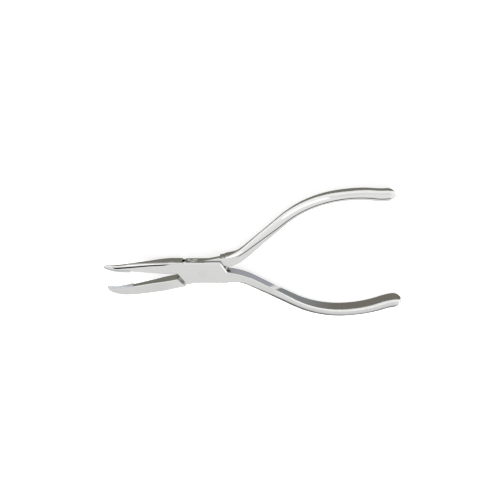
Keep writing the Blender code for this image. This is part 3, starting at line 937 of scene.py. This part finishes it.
def block(name, parts, z_low, z_high):
    bm = bmesh.new()
    base = outline(bm, parts)
    bmesh.ops.translate(bm, verts=bm.verts, vec=(0.0, 0.0, z_low))
    raised = new_corners(bmesh.ops.extrude_face_region(bm, geom=[base]))
    bmesh.ops.translate(bm, verts=raised, vec=(0.0, 0.0, z_high - z_low))
    bmesh.ops.recalc_face_normals(bm, faces=bm.faces)
    return new_piece(name, bm)


def half_turn(parts):
    """The same outline on the other side of the hinge."""
    other = []
    for part in parts:
        if len(part) == 2:
            other.append((-part[0], -part[1]))
        else:
            other.append((part[0], part[1] + 180.0, part[2] + 180.0))
    return other


# %% The slot, with a lip that stops the key
def lug_angles():
    start = 180.0 - math.degrees(math.asin(BOX_HEIGHT / 2 / (POCKET_RADIUS - SLOT_CLEARANCE)))
    return start, start + LUG_WIDTH_DEG


def slot_parts():
    beyond = BOX_HEIGHT
    lip_radius = POCKET_RADIUS - LIP_DEPTH
    lip_deg = lug_angles()[1] + FULL_OPENING_DEG + math.degrees(SLOT_CLEARANCE / POCKET_RADIUS)
    top_deg = 180.0 - math.degrees(math.asin(BOX_HEIGHT / 2 / POCKET_RADIUS))
    root_deg = 180.0 + math.degrees(math.asin(JAW_ROOT_OFFSET / lip_radius))
    reach = -CHEEK_LOW_X + CHEEK_SLANT_X + SHOULDER_GAP + BOX_THICKNESS
    half = [
        (polar(POCKET_RADIUS, top_deg)[0], beyond),
        (POCKET_RADIUS, top_deg, lip_deg),
        (lip_radius, lip_deg, root_deg),
        (-reach, -JAW_ROOT_OFFSET),
        (-reach, -beyond),
    ]
    return half + half_turn(half)


# %% What is ground off the key lever
def key_trim_parts():
    beyond = BOX_HEIGHT
    lug_radius = POCKET_RADIUS - SLOT_CLEARANCE
    waist_radius = lug_radius - LIP_DEPTH
    start, end = lug_angles()
    relief = JAW_ROOT_OFFSET + JAW_CLEARANCE
    root_deg = 180.0 + math.degrees(math.asin(relief / waist_radius))
    reach = -CHEEK_LOW_X + CHEEK_SLANT_X + SHOULDER_GAP
    return [
        (polar(lug_radius, start)[0], beyond),
        (lug_radius, start, end),
        (waist_radius, end, root_deg),
        (-reach, -relief),
        (-reach - beyond, 0.0),
        (-reach - beyond, beyond),
    ]


def shoulder_parts():
    half = BOX_HEIGHT / 2
    beyond = 1.2 * half
    root = JAW_ROOT_OFFSET + JAW_CLEARANCE
    low = (CHEEK_LOW_X - SHOULDER_GAP, -half)
    high = (CHEEK_LOW_X - CHEEK_SLANT_X - SHOULDER_GAP, -root)
    slope = (high[0] - low[0]) / (high[1] - low[1])
    foot = (low[0] - slope * (beyond - half), -beyond)
    head = (high[0] - slope * JAW_CLEARANCE, high[1] + JAW_CLEARANCE)
    left = [(high[0], beyond), head, foot]
    return left + half_turn(left)


# %% Cut them
def cut(target, cutters):
    """Take each cutter away from the target for good, and throw the cutters away."""
    for cutter in cutters:
        modifier = target.modifiers.new(cutter.name, "BOOLEAN")
        modifier.operation = "DIFFERENCE"
        modifier.solver = "EXACT"
        modifier.object = cutter
    bpy.context.view_layer.update()
    graph = bpy.context.evaluated_depsgraph_get()
    mesh = bpy.data.meshes.new_from_object(target.evaluated_get(graph))
    mesh.name = target.name
    target.modifiers.clear()
    old = target.data
    target.data = mesh
    bpy.data.meshes.remove(old)
    for cutter in cutters:
        bpy.data.objects.remove(cutter)


def bore(name, radius):
    bm = bmesh.new()
    made = bmesh.ops.create_cone(
        bm, cap_ends=True, cap_tris=False, segments=96, radius1=radius, radius2=radius,
        depth=3 * BOX_THICKNESS)
    bmesh.ops.translate(bm, verts=made["verts"], vec=(0.0, 0.0, MIDDLE))
    return new_piece(name, bm)


slot_half = KEY_THICKNESS / 2 + SLOT_CLEARANCE
key_half = KEY_THICKNESS / 2
high = 2 * BOX_THICKNESS
cut(box_forging, [
    block("slot", slot_parts(), MIDDLE - slot_half, MIDDLE + slot_half),
    bore("rivet_hole", RIVET_RADIUS + RIVET_FIT),
])
cut(key_forging, [
    block("front_shoulders", shoulder_parts(), MIDDLE + key_half, high),
    block("back_shoulders", shoulder_parts(), -high, MIDDLE - key_half),
    block("jaw_side_trim", key_trim_parts(), -high, high),
    block("handle_side_trim", half_turn(key_trim_parts()), -high, high),
    bore("key_hole", RIVET_RADIUS + KEY_HOLE_PLAY),
])
print("after the cuts:", len(box_forging.data.polygons), len(key_forging.data.polygons))

# %% [markdown]
# ## Breaking the cut edges
#
# A Boolean leaves razor edges, and a razor edge never catches the light. The maker draws a stone
# along each one. Here the sharp edges around the box are found by the angle between their faces,
# and a small bevel is put on them. The rivet's hole stays sharp, because a flush rivet hides it.


# %% Stone the edges
STONE_REACH = 17.0 * MM
SHARP_DEG = 38.0
RIVET_ZONE = 2.2 * MM
CUT_CRUMBS = 0.004 * MM


def stone_edges(obj, width):
    bm = bmesh.new()
    bm.from_mesh(obj.data)
    bmesh.ops.dissolve_degenerate(bm, dist=CUT_CRUMBS, edges=bm.edges)
    bmesh.ops.remove_doubles(bm, verts=bm.verts, dist=CUT_CRUMBS)
    sharp = []
    for e in bm.edges:
        if not e.is_manifold or e.calc_face_angle(0.0) < math.radians(SHARP_DEG):
            continue
        places = [v.co for v in e.verts]
        near_rivet = all(math.hypot(p.x, p.y) < RIVET_ZONE for p in places)
        if not near_rivet and all(abs(p.x) <= STONE_REACH for p in places):
            sharp.append(e)
    bmesh.ops.bevel(
        bm, geom=sharp, affect="EDGES", offset=width, offset_type="OFFSET", segments=2,
        profile=0.5, material=-1, clamp_overlap=False, loop_slide=True)
    bm.to_mesh(obj.data)
    bm.free()
    return len(sharp)


print("edges stoned:", stone_edges(box_forging, width=0.14 * MM))
print("edges stoned:", stone_edges(key_forging, width=0.07 * MM))


# %% Open the key lever to its resting angle
def open_up(obj):
    obj.data.transform(Matrix.Rotation(math.radians(REST_OPENING_DEG), 4, "Z"))


open_up(key_forging)

# %% [markdown]
# ## The gripping pads
#
# Each jaw ends in a thin hard insert. Its face is cut with two crossing rows of fine grooves, so
# that it holds a wire. The pad is a grid of small faces, extruded to a plate and bent to the line
# where the pads meet. The grooves are pressed into its gripping face, which is fine enough to
# carry them. Its sides and back are as smooth as the jaw.

# %% A pad
SERRATION_PITCH = 0.42 * MM
SERRATION_DEPTH = 0.12 * MM
PAD_FACES = (110, 28)
PAD_END_GAP = 0.06 * MM
# How far the grooves take to fade at the sides, the root and the tip, as shares
GROOVE_FADES = (0.12, 0.02, 0.04)


def new_pad(name, side):
    """A plate of many small faces, bent to the grip line and as wide as its jaw."""
    start = JAW_REACH - PAD_LENGTH
    end = JAW_REACH - PAD_END_GAP
    sides, root, tip = GROOVE_FADES
    bm = bmesh.new()
    bmesh.ops.create_grid(bm, x_segments=PAD_FACES[0], y_segments=PAD_FACES[1], size=0.5)
    far = set(new_corners(bmesh.ops.extrude_face_region(bm, geom=bm.faces[:])))
    for vert in bm.verts:
        along = vert.co.x + 0.5
        across = vert.co.y * 2.0
        x = -blend(start, end, along)
        face = grip_y(x) + side * PAD_MEETING_GAP / 2
        z = across * nose_width(-x) / 2
        if vert in far:
            y = face + side * (pad_thickness(x) + PAD_SEAT_GAP)
        else:
            one = abs(((x + z) / SERRATION_PITCH) % 1.0 - 0.5) * 2.0
            two = abs(((x - z) / SERRATION_PITCH) % 1.0 - 0.5) * 2.0
            border = min(1.0, (1.0 - abs(across)) / sides, along / root, (1.0 - along) / tip)
            y = face + side * SERRATION_DEPTH * max(0.0, border) * (1.0 - min(one, two))
        vert.co = (x, y, MIDDLE + z)
    for face in bm.faces:
        face.material_index = 1 if any(v in far for v in face.verts) else 0
    bmesh.ops.recalc_face_normals(bm, faces=bm.faces)
    return new_piece(name, bm)


upper_insert = new_pad("upper_pad_insert", 1)
lower_insert = new_pad("lower_pad_insert", -1)
open_up(lower_insert)
print("pad faces:", len(upper_insert.data.polygons))

# %% [markdown]
# ## Steel
#
# Hand-polished stainless steel is a mirror with faults: a faint haze, smears, fine lines from
# the last wheel, and soft waves where the metal was ground by hand. The faults are one node
# group, so that the levers, the pads and the rivet share them, each with its own strengths.
# The group also paints shade: it darkens the steel in the creases, in the corners of the joint,
# and on the turn of the lower handle's back, which is a painted dark reflection. The skin brings
# its share as an attribute, for the creases and the dark rim. The corners of the joint get theirs
# by their distance from a point.


# %% The faults of a polished surface and its painted shade, as a node group
GRAIN_DEPTH = 0.02 * MM
WAVE_DEPTH = 0.4 * MM
# The colour and extra roughness of the painted shade
PAINTED_SHADE_COLOUR = (0.02, 0.019, 0.018, 1.0)
PAINTED_SHADE_ROUGH = 0.3
# Painted shade is patchy: this much everywhere, and up to this much more where steel is smeared
PATCH_LEAST, PATCH_SPREAD = 0.7, 0.6


def build_faults_and_shade_group():
    group = bpy.data.node_groups.new("polish faults and painted shade", "ShaderNodeTree")
    face = group.interface
    for name, kind, value in (
        ("Colour", "Color", (0.7, 0.7, 0.7, 1.0)), ("Roughness", "Float", 0.12),
        ("Haze", "Float", 0.05), ("Wave", "Float", 0.1), ("Grain", "Float", 0.1),
        ("Painted shade", "Float", 0.0),
    ):
        socket = face.new_socket(name=name, in_out="INPUT", socket_type="NodeSocket" + kind)
        socket.default_value = value
    for name, kind in (("Colour", "Color"), ("Roughness", "Float"), ("Normal", "Vector")):
        face.new_socket(name=name, in_out="OUTPUT", socket_type="NodeSocket" + kind)
    given = group.nodes.new("NodeGroupInput")
    made = group.nodes.new("NodeGroupOutput")
    place = add_node(group, "TexCoord", {}).outputs["Object"]

    def noise(scale, detail, stretch=(1.0, 1.0, 1.0)):
        mapping = add_node(group, "Mapping", {"Vector": place, "Scale": stretch})
        inputs = {"Vector": mapping.outputs["Vector"], "Scale": scale, "Detail": detail}
        return add_node(group, "TexNoise", inputs).outputs["Fac"]

    def bump(depth, strength, height, **more):
        inputs = {"Distance": depth, "Strength": given.outputs[strength], "Height": height}
        return add_node(group, "Bump", {**inputs, **more}).outputs["Normal"]

    haze = noise(scale=160.0, detail=4.0)
    smear = noise(scale=700.0, detail=3.0, stretch=(0.35, 1.0, 1.0))
    lines = noise(scale=5200.0, detail=2.0, stretch=(0.06, 1.0, 1.0))
    wave = noise(scale=95.0, detail=1.0)

    sums = partial(maths, group)
    cloud = sums("SUBTRACT", sums("ADD", haze, smear), 1.0)
    hazy = sums("MULTIPLY", cloud, given.outputs["Haze"])
    patchy = sums("ADD", PATCH_LEAST, sums("MULTIPLY", smear, PATCH_SPREAD))
    painted_shade_amount = sums("MINIMUM", sums("MULTIPLY", given.outputs["Painted shade"], patchy), 1.0)
    rough = sums("ADD", given.outputs["Roughness"], hazy)
    rough = sums("ADD", rough, sums("MULTIPLY", painted_shade_amount, PAINTED_SHADE_ROUGH))

    shade = add_node(group, "Mix", {"Factor": painted_shade_amount}, data_type="RGBA")
    clean, dark_in = [s for s in shade.inputs if s.type == "RGBA"]
    shaded = next(s for s in shade.outputs if s.type == "RGBA")
    dark_in.default_value = PAINTED_SHADE_COLOUR
    group.links.new(given.outputs["Colour"], clean)

    grain_bump = bump(GRAIN_DEPTH, "Grain", lines)
    both_bumps = bump(WAVE_DEPTH, "Wave", wave, Normal=grain_bump)
    for name, result in (("Colour", shaded), ("Roughness", rough), ("Normal", both_bumps)):
        group.links.new(result, made.inputs[name])
    return group


faults_and_shade = build_faults_and_shade_group()
print("polish group sockets:", [s.name for s in faults_and_shade.interface.items_tree])


# %% A steel material
# Painted shade in corners of the joint: middle, radius and strength. The core has the full
# strength
PAINTED_SHADE_SPOTS = (
    ((12.4 * MM, 0.2 * MM, 3.4 * MM), 1.2 * MM, 0.9),
    ((-11.0 * MM, -3.0 * MM, 3.1 * MM), 2.0 * MM, 0.4),
    ((-9.6 * MM, -5.3 * MM, 3.1 * MM), 2.0 * MM, 0.4),
)
SPOT_CORE = 0.6


def steel(name, painted_shade_from=None, spots=(), **faults_by_name):
    material, tree = new_material(name)
    faults = add_node(tree, "Group", faults_by_name, node_tree=faults_and_shade)
    # Painted shade from the skin's attribute and from spots in the joint's corners
    if painted_shade_from:
        painted_dark = add_node(tree, "Attribute", {}, attribute_name=painted_shade_from).outputs["Fac"]
        place = add_node(tree, "TexCoord", {}).outputs["Object"]
        for middle, radius, strength in spots:
            away = add_node(tree, "VectorMath", {0: place, 1: middle}, operation="DISTANCE")
            reach = {"From Min": radius, "From Max": SPOT_CORE * radius, "To Max": strength}
            near = add_node(
                tree, "MapRange", {"Value": away.outputs["Value"], **reach},
                interpolation_type="SMOOTHSTEP")
            painted_dark = maths(tree, "MAXIMUM", painted_dark, near.outputs["Result"])
        tree.links.new(painted_dark, faults.inputs["Painted shade"])
    shader = add_node(tree, "BsdfPrincipled", {
        "Metallic": 1.0, "Base Color": faults.outputs["Colour"],
        "Roughness": faults.outputs["Roughness"], "Normal": faults.outputs["Normal"]})
    add_node(tree, "OutputMaterial", {"Surface": shader.outputs["BSDF"]})
    return material


lever_steel = steel(
    "polished steel", "painted_shade_amount", PAINTED_SHADE_SPOTS,
    Colour=(0.71, 0.71, 0.70, 1.0), Roughness=0.11, Haze=0.07, Wave=0.10, Grain=0.10)
pad_steel = steel(
    "serrated pad steel",
    Colour=(0.74, 0.76, 0.79, 1.0), Roughness=0.55, Haze=0.10, Wave=0.02, Grain=0.25)
rivet_steel = steel(
    "rivet steel",
    Colour=(0.70, 0.70, 0.69, 1.0), Roughness=0.13, Haze=0.07, Wave=0.04, Grain=0.12)

# %% [markdown]
# ## Putting it together
#
# Each finished piece stands for its solid, rides on the body that carries it, and shades smooth
# with its flats kept flat: the weighted normals follow the large faces, so that the small curve
# of an edge doesn't smear across them.


# %% Dress and mount each piece
FLAT_DEG = 40.0


def mount(piece, body, node, slot, *materials):
    piece.data.materials.clear()
    for material in materials:
        piece.data.materials.append(material)
    piece.data.shade_smooth()
    piece.data.set_sharp_from_angle(angle=math.radians(FLAT_DEG))
    flats = piece.modifiers.new("flats stay flat", "WEIGHTED_NORMAL")
    flats.keep_sharp = True
    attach(piece, body)
    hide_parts(node)


mount(box_forging, "box_body", "box_lever", "polished_steel", lever_steel)
mount(key_forging, "key_body", "key_lever", "polished_steel", lever_steel)
mount(upper_insert, "box_body", "upper_pad", "pad_steel", pad_steel, lever_steel)
mount(lower_insert, "key_body", "lower_pad", "pad_steel", pad_steel, lever_steel)

rivet = bpy.data.objects["joint_rivet"]
for place in rivet.material_slots:
    place.material = rivet_steel
